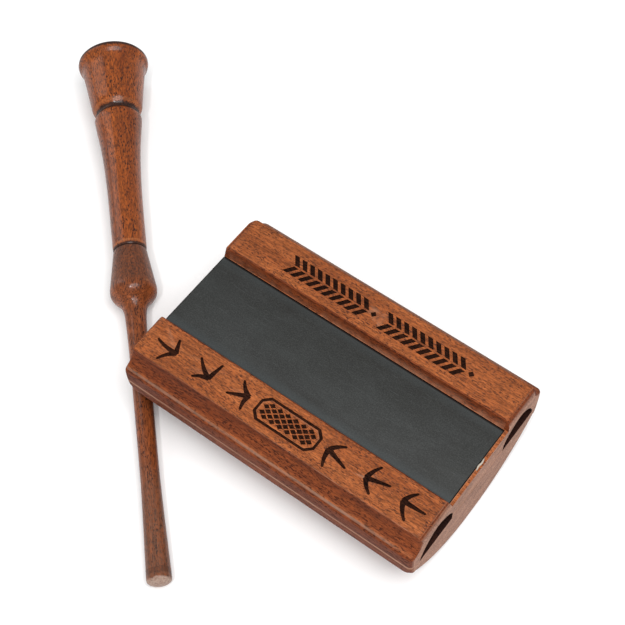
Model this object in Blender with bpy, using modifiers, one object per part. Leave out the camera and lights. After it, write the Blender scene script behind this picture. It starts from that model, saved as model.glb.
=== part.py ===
"""Slate turkey call and its striker, taken apart as it would lie on a bench.

Metres, +Z up. X runs along the call, Y across it, and the flat under the belly rests on Z = 0.
The call is a rectangular wooden sound box with a slate between two rails; the striker is a turned
peg in two glued pieces, which lies on the same surface with its shaft under the call's corner.
"""
import math

import bmesh
import bpy
from mathutils import Matrix, Vector

# ---- driving dimensions ------------------------------------------------------------------------
GAP = 0.0003                    # glue line between two touching pieces

BODY_LENGTH = 0.114
BODY_HEIGHT = 0.037             # from the flat under the belly to the rail tops
RAIL_OUTER = 0.0325             # half width across the rail tops
SEAM_HEIGHT = 0.022             # glue seam between the rail frame and the belly
CORNER_HEIGHT = 0.0165          # where the side turns into the belly
BELLY_RADIUS = 0.0473
REST_HALF = 0.005               # half width of the flat under the belly

RAIL_EDGE_RADIUS = 0.0007
COVE_RADIUS = 0.0067
COVE_SWEEP = math.radians(65)
BULGE_RADIUS = 0.0016
SIDE_RADIUS = 0.060
NOSE_LENGTH = 0.0028            # rounded end of the rails, along X and down Z
NOSE_DROP = 0.0038
BELLY_END_RIGHT = 0.0035        # rounding where the belly meets the two ends
BELLY_END_LEFT = 0.0020

CHANNEL_DEPTH = 0.0040          # rail tops down to the slate
CHANNEL_HALF = 0.0160           # half width beside the slate
CHANNEL_HALF_TOP = 0.0172       # half width at the rail tops
SLATE_THICKNESS = 0.0022
SLATE_HALF = 0.0156
SLATE_LIP = 0.0012              # wood left beyond the slate at the right end
BEDDING_THICKNESS = 0.0004
BEDDING_WIDTH = 0.0036

CHAMBER_HALF_LENGTH = 0.049
WINDOW_HALF = 0.0110            # opening under the slate
POCKET_HALF = 0.0210            # hollow in the belly
POCKET_WALL = 0.0065

PORT_INNER = 0.0147             # sound ports, measured from the middle of the call
PORT_PEAK_AT = 0.0238
PORT_OUTER = 0.0325
PORT_WALL = 0.0034
PORT_HEIGHT = 0.0102
PORT_POWER = 1.6                # 2 is an ellipse, less is more pointed

BOARD_LENGTH = 0.092
BOARD_HALF = 0.0100
BOARD_THICKNESS = 0.0018
BOARD_TOP = 0.0255
PEDESTAL_RADIUS = 0.0045
PEDESTAL_AT = 0.032

STRIKER_AZIMUTH = math.radians(134.25)   # from the tip to the head, seen from above
STRIKER_TIP = (-0.0099, -0.0797)         # where the tip's rim touches the surface
STRIKER_LENGTH = 0.2157
RIM_AT = 0.0030                 # distances from the top of the head
RIM_RADIUS = 0.01345
TIP_AT = 0.2132
TIP_RADIUS = 0.00415
SEAM_AT = 0.0893
SEAM_RADIUS = 0.0058
TENON_RADIUS = 0.0030
TENON_LENGTH = 0.016
TENON_CLEARANCE = 0.0003
GROOVE_RADIUS = 0.0078
BULB_RADIUS = 0.00835
SHAFT_RADIUS = 0.0033

BODY_END = BODY_LENGTH / 2
SLATE_TOP = BODY_HEIGHT - CHANNEL_DEPTH
SLATE_BOTTOM = SLATE_TOP - SLATE_THICKNESS
LEDGE_HEIGHT = SLATE_BOTTOM - BEDDING_THICKNESS - 2 * GAP
BELLY_CENTRE = math.sqrt(BELLY_RADIUS**2 - REST_HALF**2)
CUT_MARGIN = 0.002              # how far a cutter runs past the face it opens
TOUCHING = 1e-6                 # points closer than this count as one
ARC_STEPS = 7
SMALL_ARC_STEPS = 4
BELLY_STEPS = 14
TURNED_STEPS = 32


# ---- scene and collections ---------------------------------------------------------------------
for old in list(bpy.data.objects):
    bpy.data.objects.remove(old, do_unlink=True)

parts = bpy.data.collections.new("turkey_call")
cutters = bpy.data.collections.new("cutters")
bpy.context.scene.collection.children.link(parts)
bpy.context.scene.collection.children.link(cutters)


# ---- helpers -----------------------------------------------------------------------------------
def make_material(name, colour, roughness):
    material = bpy.data.materials.new(name)
    material.use_nodes = True
    shader = material.node_tree.nodes["Principled BSDF"]
    shader.inputs["Base Color"].default_value = (*colour, 1.0)
    shader.inputs["Roughness"].default_value = roughness
    shader.inputs["Metallic"].default_value = 0.0
    return material


def arc(centre, radius, start, end, steps):
    """Points on a circle, from the start angle to the end angle."""
    turn = (end - start) / steps
    angles = [start + turn * step for step in range(steps + 1)]
    return [(centre[0] + radius * math.cos(a), centre[1] + radius * math.sin(a)) for a in angles]


def mirrored(half):
    """A closed outline from its right half, which runs from the top to the bottom."""
    return half + [(-y, z) for y, z in reversed(half) if y > TOUCHING]


def prism(name, outline, start, end, along="X"):
    """A flat outline extruded along X (outline in Y, Z) or along Y (outline in X, Z)."""
    curve = bpy.data.curves.new(name, "CURVE")
    curve.dimensions = "2D"
    curve.fill_mode = "BOTH"
    curve.extrude = (end - start) / 2
    spline = curve.splines.new("POLY")
    spline.points.add(len(outline) - 1)
    for point, (u, v) in zip(spline.points, outline):
        point.co = (u, v, 0, 1)
    spline.use_cyclic_u = True
    guide = bpy.data.objects.new(name + "_outline", curve)
    parts.objects.link(guide)
    middle = (start + end) / 2
    if along == "X":
        turn = Matrix(((0, 0, 1, middle), (1, 0, 0, 0), (0, 1, 0, 0), (0, 0, 0, 1)))
    else:
        turn = Matrix(((1, 0, 0, 0), (0, 0, -1, middle), (0, 1, 0, 0), (0, 0, 0, 1)))
    guide.matrix_world = turn
    bpy.context.view_layer.update()
    evaluated = guide.evaluated_get(bpy.context.evaluated_depsgraph_get())
    mesh = bpy.data.meshes.new_from_object(evaluated)
    mesh.name = name
    solid = bmesh.new()
    solid.from_mesh(mesh)
    bmesh.ops.transform(solid, matrix=guide.matrix_world, verts=solid.verts)
    bmesh.ops.remove_doubles(solid, verts=solid.verts, dist=TOUCHING)
    bmesh.ops.dissolve_limit(solid, angle_limit=0.001, verts=solid.verts, edges=solid.edges)
    bmesh.ops.recalc_face_normals(solid, faces=solid.faces)
    solid.to_mesh(mesh)
    solid.free()
    bpy.data.objects.remove(guide, do_unlink=True)
    return mesh


def box(name, low, high):
    mesh = bpy.data.meshes.new(name)
    solid = bmesh.new()
    bmesh.ops.create_cube(solid, size=1)
    size = Vector(high) - Vector(low)
    centre = (Vector(high) + Vector(low)) / 2
    bmesh.ops.scale(solid, vec=size, verts=solid.verts)
    bmesh.ops.translate(solid, vec=centre, verts=solid.verts)
    solid.to_mesh(mesh)
    solid.free()
    return mesh


def add_part(mesh, material):
    part = bpy.data.objects.new(mesh.name, mesh)
    mesh.materials.clear()
    mesh.materials.append(material)
    parts.objects.link(part)
    return part


def cut(part, mesh):
    cutter = bpy.data.objects.new(mesh.name, mesh)
    cutter.hide_render = True
    cutter.display_type = "WIRE"
    cutters.objects.link(cutter)
    boolean = part.modifiers.new(mesh.name, "BOOLEAN")
    boolean.operation = "DIFFERENCE"
    boolean.solver = "EXACT"
    boolean.object = cutter


def turned(name, profile, material):
    """A lathe-turned piece: radius and height pairs, from the top down, spun about local Z."""
    mesh = bpy.data.meshes.new(name)
    line = bmesh.new()
    verts = [line.verts.new((radius, 0, height)) for radius, height in profile]
    for upper, lower in zip(verts, verts[1:]):
        line.edges.new((upper, lower))
    line.to_mesh(mesh)
    line.free()
    part = add_part(mesh, material)
    screw = part.modifiers.new("turning", "SCREW")
    screw.axis = "Z"
    screw.angle = math.tau
    screw.steps = TURNED_STEPS
    screw.render_steps = TURNED_STEPS
    screw.use_merge_vertices = True
    screw.merge_threshold = 0.00002
    screw.use_smooth_shade = True
    return part


# ---- materials ---------------------------------------------------------------------------------
rail_wood = make_material("oiled_red_wood", (0.36, 0.14, 0.065), 0.42)
belly_wood = make_material("oiled_red_wood_belly", (0.30, 0.12, 0.06), 0.48)
slate_stone = make_material("grey_green_slate", (0.055, 0.065, 0.063), 0.62)
bedding_glue = make_material("dark_bedding_adhesive", (0.012, 0.010, 0.009), 0.55)
board_wood = make_material("pale_sound_board_wood", (0.62, 0.44, 0.26), 0.60)
pedestal_wood = make_material("maple_pedestal", (0.66, 0.50, 0.33), 0.58)
striker_wood = make_material("oiled_striker_wood", (0.33, 0.12, 0.05), 0.38)
shaft_wood = make_material("oiled_striker_shaft_wood", (0.27, 0.10, 0.05), 0.40)


# ---- rail frame: the upper wooden body ---------------------------------------------------------
def side_point(height):
    """Half width of the gently bowed side at a height."""
    drop = (COVE_RADIUS + BULGE_RADIUS) * math.sin(COVE_SWEEP)
    bulge_height = BODY_HEIGHT - RAIL_EDGE_RADIUS - drop
    widest = RAIL_OUTER + (COVE_RADIUS + BULGE_RADIUS) * (1 - math.cos(COVE_SWEEP))
    return widest - SIDE_RADIUS + math.sqrt(SIDE_RADIUS**2 - (bulge_height - height) ** 2)


def rail_frame_outline():
    edge_centre = (RAIL_OUTER - RAIL_EDGE_RADIUS, BODY_HEIGHT - RAIL_EDGE_RADIUS)
    cove_centre = (RAIL_OUTER + COVE_RADIUS, BODY_HEIGHT - RAIL_EDGE_RADIUS)
    half = arc(edge_centre, RAIL_EDGE_RADIUS, math.pi / 2, 0, SMALL_ARC_STEPS)
    half += arc(cove_centre, COVE_RADIUS, math.pi, math.pi + COVE_SWEEP, ARC_STEPS)[1:]
    cove_end = half[-1]
    bulge_centre = (
        cove_end[0] - BULGE_RADIUS * math.cos(COVE_SWEEP),
        cove_end[1] - BULGE_RADIUS * math.sin(COVE_SWEEP),
    )
    half += arc(bulge_centre, BULGE_RADIUS, COVE_SWEEP, 0, SMALL_ARC_STEPS)[1:]
    foot = SEAM_HEIGHT + GAP / 2
    top = half[-1][1]
    for step in range(1, SMALL_ARC_STEPS + 1):
        height = top + (foot - top) * step / SMALL_ARC_STEPS
        half.append((side_point(height), height))
    return mirrored(half)


rail_frame = add_part(prism("rail_frame", rail_frame_outline(), -BODY_END, BODY_END), rail_wood)

# the rails' right ends are rounded over
nose_arc = arc((0, 0), 1, math.pi / 2, 0, ARC_STEPS)
nose_outline = [
    (BODY_END - NOSE_LENGTH + NOSE_LENGTH * u, BODY_HEIGHT - NOSE_DROP + NOSE_DROP * v)
    for u, v in nose_arc
]
nose_outline += [
    (BODY_END + NOSE_LENGTH, BODY_HEIGHT - NOSE_DROP),
    (BODY_END + NOSE_LENGTH, BODY_HEIGHT + NOSE_DROP),
    (BODY_END - NOSE_LENGTH, BODY_HEIGHT + NOSE_DROP),
]
cut(rail_frame, prism("nose_cutter", nose_outline, -BODY_LENGTH / 2, BODY_LENGTH / 2, "Y"))

# the striking channel between the rails, its walls flared towards the top
flare = (CHANNEL_HALF_TOP - CHANNEL_HALF) / CHANNEL_DEPTH
channel_outline = [
    (CHANNEL_HALF_TOP + flare * CUT_MARGIN, BODY_HEIGHT + CUT_MARGIN),
    (CHANNEL_HALF, SLATE_TOP),
]
cut(rail_frame, prism("channel_cutter", mirrored(channel_outline), -BODY_LENGTH, BODY_LENGTH))

# the rebate that the slate lies in, open at the left end and closed by a lip at the right
rebate_end = BODY_END - SLATE_LIP
cut(
    rail_frame,
    box(
        "rebate_cutter",
        (-BODY_LENGTH, -CHANNEL_HALF + GAP / 2, LEDGE_HEIGHT),
        (rebate_end, CHANNEL_HALF - GAP / 2, SLATE_TOP + CUT_MARGIN / 2),
    ),
)

# the window under the slate, down through the frame
cut(
    rail_frame,
    box(
        "window_cutter",
        (-CHAMBER_HALF_LENGTH, -WINDOW_HALF, SEAM_HEIGHT - CUT_MARGIN),
        (CHAMBER_HALF_LENGTH, WINDOW_HALF, LEDGE_HEIGHT + CUT_MARGIN),
    ),
)


# the two sound ports, tunnels under the rails from end to end
def port_half(reach, rise, base, steps):
    """A quarter of a rounded arch, from its foot up to the peak."""
    points = []
    for step in range(steps + 1):
        angle = math.pi / 2 * step / steps
        across = reach * math.cos(angle) ** (2 / PORT_POWER)
        points.append((across, base + rise * math.sin(angle) ** (2 / PORT_POWER)))
    return points


def port_outline(side):
    floor = SEAM_HEIGHT + GAP / 2
    inner = port_half(PORT_PEAK_AT - PORT_INNER, PORT_HEIGHT - PORT_WALL, PORT_WALL, ARC_STEPS)
    outer = port_half(PORT_OUTER - PORT_PEAK_AT, PORT_HEIGHT, 0, ARC_STEPS)
    points = [(PORT_PEAK_AT - across, floor + rise) for across, rise in inner]
    points += [(PORT_PEAK_AT + across, floor + rise) for across, rise in reversed(outer[:-1])]
    points += [(PORT_OUTER, floor - CUT_MARGIN), (PORT_INNER, floor - CUT_MARGIN)]
    return [(side * y, z) for y, z in points]


for port_name, side in (("near", -1), ("far", 1)):
    tunnel = prism("port_cutter_" + port_name, port_outline(side), -BODY_LENGTH, BODY_LENGTH)
    cut(rail_frame, tunnel)


# ---- belly: the convex base, glued under the rail frame ----------------------------------------
def belly_outline():
    top = SEAM_HEIGHT - GAP / 2
    half = [(side_point(top), top)]
    start = math.asin((CORNER_HEIGHT - BELLY_CENTRE) / BELLY_RADIUS)
    end = -math.acos(REST_HALF / BELLY_RADIUS)
    half += arc((0, BELLY_CENTRE), BELLY_RADIUS, start, end, BELLY_STEPS)
    return mirrored(half)


def round_belly_ends(mesh):
    """Rounds the belly's edge at both ends, up to the height where the sides begin."""
    solid = bmesh.new()
    solid.from_mesh(mesh)
    stations = []
    for side, radius in ((1, BELLY_END_RIGHT), (-1, BELLY_END_LEFT)):
        for step in range(SMALL_ARC_STEPS + 1):
            angle = math.pi / 2 * step / SMALL_ARC_STEPS
            place = side * (BODY_END - radius * (1 - math.cos(angle)))
            stations.append((place, radius * (1 - math.sin(angle))))
    for place, inset in stations:
        bmesh.ops.bisect_plane(
            solid,
            geom=solid.verts[:] + solid.edges[:] + solid.faces[:],
            dist=TOUCHING,
            plane_co=(place, 0, 0),
            plane_no=(1, 0, 0),
        )
    for place, inset in stations:
        for vert in solid.verts:
            at_station = abs(vert.co.x - place) < TOUCHING
            if at_station and vert.co.z < CORNER_HEIGHT + TOUCHING:
                inward = Vector((0, -vert.co.y, BELLY_CENTRE - vert.co.z)).normalized()
                vert.co += inward * inset
    solid.to_mesh(mesh)
    solid.free()
    return mesh


belly_mesh = round_belly_ends(prism("belly", belly_outline(), -BODY_END, BODY_END))
belly = add_part(belly_mesh, belly_wood)

# the hollow in the belly, its floor parallel to the outside
hollow_radius = BELLY_RADIUS - POCKET_WALL
hollow_start = -math.acos(POCKET_HALF / hollow_radius)
hollow_half = [(POCKET_HALF, SEAM_HEIGHT + CUT_MARGIN)]
hollow_half += arc((0, BELLY_CENTRE), hollow_radius, hollow_start, -math.pi / 2, ARC_STEPS)
cut(
    belly,
    prism("hollow_cutter", mirrored(hollow_half), -CHAMBER_HALF_LENGTH, CHAMBER_HALF_LENGTH),
)
hollow_floor = BELLY_CENTRE - hollow_radius


# ---- slate and its bedding ---------------------------------------------------------------------
slate_right = rebate_end - GAP
slate = add_part(
    box(
        "slate",
        (-BODY_END, -SLATE_HALF, SLATE_BOTTOM),
        (slate_right, SLATE_HALF, SLATE_TOP),
    ),
    slate_stone,
)

bedding_top = SLATE_BOTTOM - GAP
bedding_bottom = bedding_top - BEDDING_THICKNESS
bedding = add_part(
    box(
        "slate_bedding",
        (-BODY_END + GAP, -SLATE_HALF + GAP, bedding_bottom),
        (slate_right - GAP, SLATE_HALF - GAP, bedding_top),
    ),
    bedding_glue,
)
bedding_inner = SLATE_HALF - BEDDING_WIDTH
cut(
    bedding,
    box(
        "bedding_cutter",
        (-CHAMBER_HALF_LENGTH - GAP, -bedding_inner, bedding_bottom - CUT_MARGIN / 2),
        (CHAMBER_HALF_LENGTH + GAP, bedding_inner, bedding_top + CUT_MARGIN / 2),
    ),
)


# ---- sound board on its pedestals, inside the chamber ------------------------------------------
board_bottom = BOARD_TOP - BOARD_THICKNESS
sound_board = add_part(
    box(
        "sound_board",
        (-BOARD_LENGTH / 2, -BOARD_HALF, board_bottom),
        (BOARD_LENGTH / 2, BOARD_HALF, BOARD_TOP),
    ),
    board_wood,
)
softened = sound_board.modifiers.new("softened_edges", "BEVEL")
softened.width = 0.0004
softened.segments = 1

pedestal_top = board_bottom - GAP
pedestal_foot = hollow_floor + 2 * GAP
for pedestal_name, place in (("left", -PEDESTAL_AT), ("right", PEDESTAL_AT)):
    height = pedestal_top - pedestal_foot
    waist = PEDESTAL_RADIUS * 0.8
    profile = [
        (0, height),
        (PEDESTAL_RADIUS, height),
        (waist, height * 0.8),
        (waist, height * 0.2),
        (PEDESTAL_RADIUS, 0),
        (0, 0),
    ]
    pedestal = turned("pedestal_" + pedestal_name, profile, pedestal_wood)
    pedestal.location = (place, 0, pedestal_foot)


# ---- striker: a turned handle and a turned shaft, glued by a tenon -----------------------------
# Distances run from the top of the head to the tip, along the striker's own axis.
handle_profile = [
    (0, 0),
    (0.0095, 0.0001),
    (0.0121, 0.0009),
    (0.0132, 0.0020),
    (RIM_RADIUS, RIM_AT),
    (0.0131, 0.0043),
    (0.0123, 0.0056),
    (0.0118, 0.0076),
    (0.0096, 0.0238),
    (0.0092, 0.0252),
    (0.0083, 0.0266),
    (GROOVE_RADIUS, 0.0273),
    (GROOVE_RADIUS, 0.0286),
    (0.0084, 0.0294),
    (0.0089, 0.0303),
    (0.0074, 0.0430),
    (0.0066, 0.0550),
    (0.00625, 0.0680),
    (0.00610, 0.0878),
    (SEAM_RADIUS, SEAM_AT - GAP / 2),
]
bore_radius = TENON_RADIUS + TENON_CLEARANCE
bore_depth = TENON_LENGTH + TENON_CLEARANCE
handle_profile += [
    (bore_radius, SEAM_AT - GAP / 2),
    (bore_radius, SEAM_AT - bore_depth),
    (0, SEAM_AT - bore_depth),
]

shaft_profile = [
    (0, SEAM_AT - TENON_LENGTH),
    (TENON_RADIUS, SEAM_AT - TENON_LENGTH),
    (TENON_RADIUS, SEAM_AT + GAP / 2),
    (SEAM_RADIUS, SEAM_AT + GAP / 2),
    (0.00615, 0.0905),
    (0.0083, 0.1053),
    (BULB_RADIUS, 0.1064),
    (0.0081, 0.1078),
    (0.0071, 0.1094),
    (0.0056, 0.1110),
    (0.0046, 0.1126),
    (0.0040, 0.1146),
    (0.00365, 0.1195),
    (0.0034, 0.1300),
    (SHAFT_RADIUS, 0.1540),
    (SHAFT_RADIUS, 0.1800),
    (0.0037, 0.1970),
    (TIP_RADIUS, TIP_AT),
    (0.0040, 0.2142),
    (0.0030, 0.2150),
    (0.0016, 0.2155),
    (0, STRIKER_LENGTH),
]

striker_pitch = math.asin((RIM_RADIUS - TIP_RADIUS) / (TIP_AT - RIM_AT))
towards_head = Vector(
    (
        math.cos(STRIKER_AZIMUTH) * math.cos(striker_pitch),
        math.sin(STRIKER_AZIMUTH) * math.cos(striker_pitch),
        math.sin(striker_pitch),
    )
)
tip_centre = Vector((*STRIKER_TIP, TIP_RADIUS * math.cos(striker_pitch)))
striker_axis = bpy.data.objects.new("striker_axis", None)
striker_axis.rotation_mode = "QUATERNION"
striker_axis.rotation_quaternion = towards_head.to_track_quat("Z", "Y")
striker_axis.location = tip_centre + towards_head * TIP_AT
parts.objects.link(striker_axis)

for part_name, profile, material in (
    ("striker_handle", handle_profile, striker_wood),
    ("striker_shaft", shaft_profile, shaft_wood),
):
    piece = turned(part_name, [(radius, -distance) for radius, distance in profile], material)
    piece.parent = striker_axis
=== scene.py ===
"""The looks of a slate turkey call and its striker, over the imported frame.

The sound box is two pieces of oiled red wood glued at a seam, with a slate bedded between its rails.
The striker is turned in two pieces. X runs along the box, and the flat under its belly is at Z = 0.
"""
import math

import bmesh
import bpy
from mathutils import Matrix, Vector


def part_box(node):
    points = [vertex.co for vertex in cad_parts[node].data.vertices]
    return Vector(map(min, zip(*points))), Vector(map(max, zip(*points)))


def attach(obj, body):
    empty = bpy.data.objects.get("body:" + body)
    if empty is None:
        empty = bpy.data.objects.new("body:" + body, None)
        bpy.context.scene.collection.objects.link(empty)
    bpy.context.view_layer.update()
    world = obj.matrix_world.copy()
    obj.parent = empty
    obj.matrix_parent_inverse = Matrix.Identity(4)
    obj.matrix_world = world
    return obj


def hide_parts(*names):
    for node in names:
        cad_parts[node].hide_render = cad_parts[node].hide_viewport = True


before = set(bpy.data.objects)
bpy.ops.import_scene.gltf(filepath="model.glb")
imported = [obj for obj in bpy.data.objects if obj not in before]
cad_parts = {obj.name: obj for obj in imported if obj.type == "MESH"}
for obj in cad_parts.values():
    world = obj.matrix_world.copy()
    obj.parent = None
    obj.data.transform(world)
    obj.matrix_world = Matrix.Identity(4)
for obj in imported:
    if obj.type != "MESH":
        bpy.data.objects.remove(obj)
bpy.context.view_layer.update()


# ---- floor, light and camera -------------------------------------------------------------------
# A plain white sheet to lie on, a big soft box above the viewer's shoulder, a small bright key
# that leaves points of light on the turned wood, and a strip at the left end for its edges.
scene = bpy.context.scene
scene.view_settings.view_transform = "Standard"

AIR_LIGHT = 0.50
SHEET_WHITE = (0.93, 0.93, 0.93, 1)
SHEET_ROUGHNESS = 0.9
CAMERA_PLACE = (0.13628, -0.19543, 0.44511)
CAMERA_BACK = (0.3186, -0.4315, 0.8440)
CAMERA_LENS = 84.76

world = bpy.data.worlds.new("studio_air")
world.use_nodes = True
air = world.node_tree.nodes["Background"]
air.inputs["Color"].default_value = (1.0, 1.0, 1.0, 1)
air.inputs["Strength"].default_value = AIR_LIGHT
scene.world = world

floor_mesh = bpy.data.meshes.new("studio_floor")
floor_solid = bmesh.new()
bmesh.ops.create_grid(floor_solid, x_segments=1, y_segments=1, size=3)
floor_solid.to_mesh(floor_mesh)
floor_solid.free()
floor = bpy.data.objects.new("studio_floor", floor_mesh)
scene.collection.objects.link(floor)
floor_paint = bpy.data.materials.new("white_sheet")
floor_paint.use_nodes = True
floor_shader = floor_paint.node_tree.nodes["Principled BSDF"]
floor_shader.inputs["Base Color"].default_value = SHEET_WHITE
floor_shader.inputs["Roughness"].default_value = SHEET_ROUGHNESS
floor_mesh.materials.append(floor_paint)


def soft_box(name, place, target, width, height, power):
    """A rectangular studio light aimed at a point."""
    lamp = bpy.data.lights.new(name, "AREA")
    lamp.shape = "RECTANGLE"
    lamp.size = width
    lamp.size_y = height
    lamp.energy = power
    holder = bpy.data.objects.new(name, lamp)
    holder.location = place
    aim = Vector(target) - Vector(place)
    holder.rotation_euler = aim.to_track_quat("-Z", "Y").to_euler()
    scene.collection.objects.link(holder)


soft_box("shoulder_soft_box", (0.42, -0.20, 1.25), (-0.03, 0, 0.02), 0.8, 0.8, 14.0)
soft_box("small_key_light", (0.16, -0.46, 0.80), (-0.06, 0, 0.02), 0.045, 0.045, 1.9)
soft_box("left_strip_light", (-0.95, -0.10, 0.50), (0, 0, 0.02), 0.25, 0.8, 1.3)

camera_data = bpy.data.cameras.new("viewing_camera")
camera_data.lens = CAMERA_LENS
camera_data.sensor_width = 36
camera_data.clip_start = 0.01
camera = bpy.data.objects.new("viewing_camera", camera_data)
camera.location = CAMERA_PLACE
camera.rotation_euler = Vector(CAMERA_BACK).to_track_quat("Z", "Y").to_euler()
scene.collection.objects.link(camera)
scene.camera = camera


# ---- rail frame --------------------------------------------------------------------------------
# The upper half of the sound box: one block of oiled red wood with two rails, a coved outer side,
# and two sound tunnels under the rails. It is planed along its length, the right ends of the rails
# are rolled over with sandpaper, and the ornament is burnt in and then cut a little deeper.
GLUE_GAP = 0.0003
frame_low, frame_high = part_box("rail_frame")
RAIL_TOP = frame_high.z
SEAM_Z = frame_low.z
LEFT_END = frame_low.x
RIGHT_END = frame_high.x
RAIL_OUTER = 0.0325
CHANNEL_HALF = 0.0160
CHANNEL_HALF_TOP = 0.0172
SLATE_TOP = 0.0330
LEDGE = 0.0298
WINDOW_HALF = 0.0110
WINDOW_LENGTH = 0.049
SLATE_LIP = 0.0012
EDGE_RADIUS = 0.0007
COVE_RADIUS = 0.0067
COVE_SWEEP = math.radians(65)
BULGE_RADIUS = 0.0016
SIDE_RADIUS = 0.060
NOSE_LENGTH = 0.0028
NOSE_DROP = 0.0038
PORT_INNER = 0.0147
PORT_PEAK = 0.0238
PORT_OUTER = 0.0325
PORT_WALL = 0.0034
PORT_HEIGHT = 0.0102
ENGRAVE_DEPTH = 0.00028
CUT_MARGIN = 0.001        # how far a cutting tool reaches past the wood
END_MARGIN = 0.01         # the same, past the ends of the box
TOUCHING = 1e-6           # points closer than this are one point
FINE = 12                 # steps in a round stretch


def arc(centre, radius, start, end, steps):
    """Points on a circle from the start angle to the end angle."""
    turn = (end - start) / steps
    angles = [start + turn * step for step in range(steps + 1)]
    return [(centre[0] + radius * math.cos(a), centre[1] + radius * math.sin(a)) for a in angles]


def new_piece(name, solid):
    """Puts a bmesh into the scene as an object at the origin."""
    mesh = bpy.data.meshes.new(name)
    solid.to_mesh(mesh)
    solid.free()
    piece = bpy.data.objects.new(name, mesh)
    scene.collection.objects.link(piece)
    return piece


def extruded(outline, axis, start, end):
    """A bmesh of a flat outline pushed along X (outline in Y, Z), Y (X, Z) or Z (X, Y)."""
    solid = bmesh.new()
    if axis == "X":
        ring = [solid.verts.new((start, u, v)) for u, v in outline]
        push = Vector((end - start, 0, 0))
    elif axis == "Y":
        ring = [solid.verts.new((u, start, v)) for u, v in outline]
        push = Vector((0, end - start, 0))
    else:
        ring = [solid.verts.new((u, v, start)) for u, v in outline]
        push = Vector((0, 0, end - start))
    face = solid.faces.new(ring)
    swept = bmesh.ops.extrude_face_region(solid, geom=[face])
    moved = [part for part in swept["geom"] if isinstance(part, bmesh.types.BMVert)]
    bmesh.ops.translate(solid, vec=push, verts=moved)
    bmesh.ops.recalc_face_normals(solid, faces=solid.faces)
    return solid


def shade_smooth(piece, degrees):
    """Smooth shading, with edges sharper than an angle kept crisp."""
    for face in piece.data.polygons:
        face.use_smooth = True
    piece.data.set_sharp_from_angle(angle=math.radians(degrees))


def cut_away(piece, tool, floor_material=None):
    """Takes the tool's solid out of the piece for good. New faces take the tool's material."""
    tool.data.materials.clear()
    for material in piece.data.materials:
        tool.data.materials.append(material)
    if floor_material is not None:
        if floor_material.name not in [m.name for m in piece.data.materials]:
            piece.data.materials.append(floor_material)
            tool.data.materials.append(floor_material)
        place = [m.name for m in piece.data.materials].index(floor_material.name)
        for face in tool.data.polygons:
            face.material_index = place
    boolean = piece.modifiers.new("cut", "BOOLEAN")
    boolean.operation = "DIFFERENCE"
    boolean.solver = "EXACT"
    boolean.use_self = False
    boolean.object = tool
    depsgraph = bpy.context.evaluated_depsgraph_get()
    result = bpy.data.meshes.new_from_object(piece.evaluated_get(depsgraph))
    old = piece.data
    piece.modifiers.clear()
    piece.data = result
    result.name = piece.name
    bpy.data.meshes.remove(old)
    bpy.data.objects.remove(tool, do_unlink=True)


def side_point(height):
    """Half width of the gently bowed side at a height."""
    drop = (COVE_RADIUS + BULGE_RADIUS) * math.sin(COVE_SWEEP)
    bulge_height = RAIL_TOP - EDGE_RADIUS - drop
    widest = RAIL_OUTER + (COVE_RADIUS + BULGE_RADIUS) * (1 - math.cos(COVE_SWEEP))
    return widest - SIDE_RADIUS + math.sqrt(SIDE_RADIUS**2 - (bulge_height - height) ** 2)


def outer_side():
    """The rail frame's outer side from the rail top to the seam, as half widths and heights."""
    line = arc((RAIL_OUTER - EDGE_RADIUS, RAIL_TOP - EDGE_RADIUS), EDGE_RADIUS, math.pi / 2, 0, 6)
    cove_centre = (RAIL_OUTER + COVE_RADIUS, RAIL_TOP - EDGE_RADIUS)
    line += arc(cove_centre, COVE_RADIUS, math.pi, math.pi + COVE_SWEEP, 2 * FINE)[1:]
    bulge_centre = (
        line[-1][0] - BULGE_RADIUS * math.cos(COVE_SWEEP),
        line[-1][1] - BULGE_RADIUS * math.sin(COVE_SWEEP),
    )
    line += arc(bulge_centre, BULGE_RADIUS, COVE_SWEEP, 0, FINE)[1:]
    top = line[-1][1]
    foot = SEAM_Z + EDGE_RADIUS / 3
    for step in range(1, FINE + 1):
        height = top + (foot - top) * step / FINE
        line.append((side_point(height), height))
    line.append((side_point(foot) - EDGE_RADIUS / 3, SEAM_Z))
    return line


half_outline = [(CHANNEL_HALF_TOP + EDGE_RADIUS / 2, RAIL_TOP)] + outer_side()
inner_corner = [
    (CHANNEL_HALF, SLATE_TOP),
    (CHANNEL_HALF_TOP - 0.0001, RAIL_TOP - EDGE_RADIUS / 2),
]
full_outline = [(-y, z) for y, z in reversed(half_outline)]
full_outline += [(-y, z) for y, z in reversed(inner_corner)]
full_outline += inner_corner + half_outline
rail_frame = new_piece("rail_frame_wood", extruded(full_outline, "X", LEFT_END, RIGHT_END))

# the slate's rebate, open at the left end, and the window under the slate
rebate = [
    (-CHANNEL_HALF + GLUE_GAP / 2, LEDGE),
    (CHANNEL_HALF - GLUE_GAP / 2, LEDGE),
    (CHANNEL_HALF - GLUE_GAP / 2, SLATE_TOP + CUT_MARGIN / 5),
    (-CHANNEL_HALF + GLUE_GAP / 2, SLATE_TOP + CUT_MARGIN / 5),
]
rebate_tool = extruded(rebate, "X", LEFT_END - END_MARGIN, RIGHT_END - SLATE_LIP)
cut_away(rail_frame, new_piece("rebate_tool", rebate_tool))
window = [
    (-WINDOW_HALF, SEAM_Z - CUT_MARGIN),
    (WINDOW_HALF, SEAM_Z - CUT_MARGIN),
    (WINDOW_HALF, LEDGE + CUT_MARGIN),
    (-WINDOW_HALF, LEDGE + CUT_MARGIN),
]
window_tool = extruded(window, "X", -WINDOW_LENGTH, WINDOW_LENGTH)
cut_away(rail_frame, new_piece("window_tool", window_tool))

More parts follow.
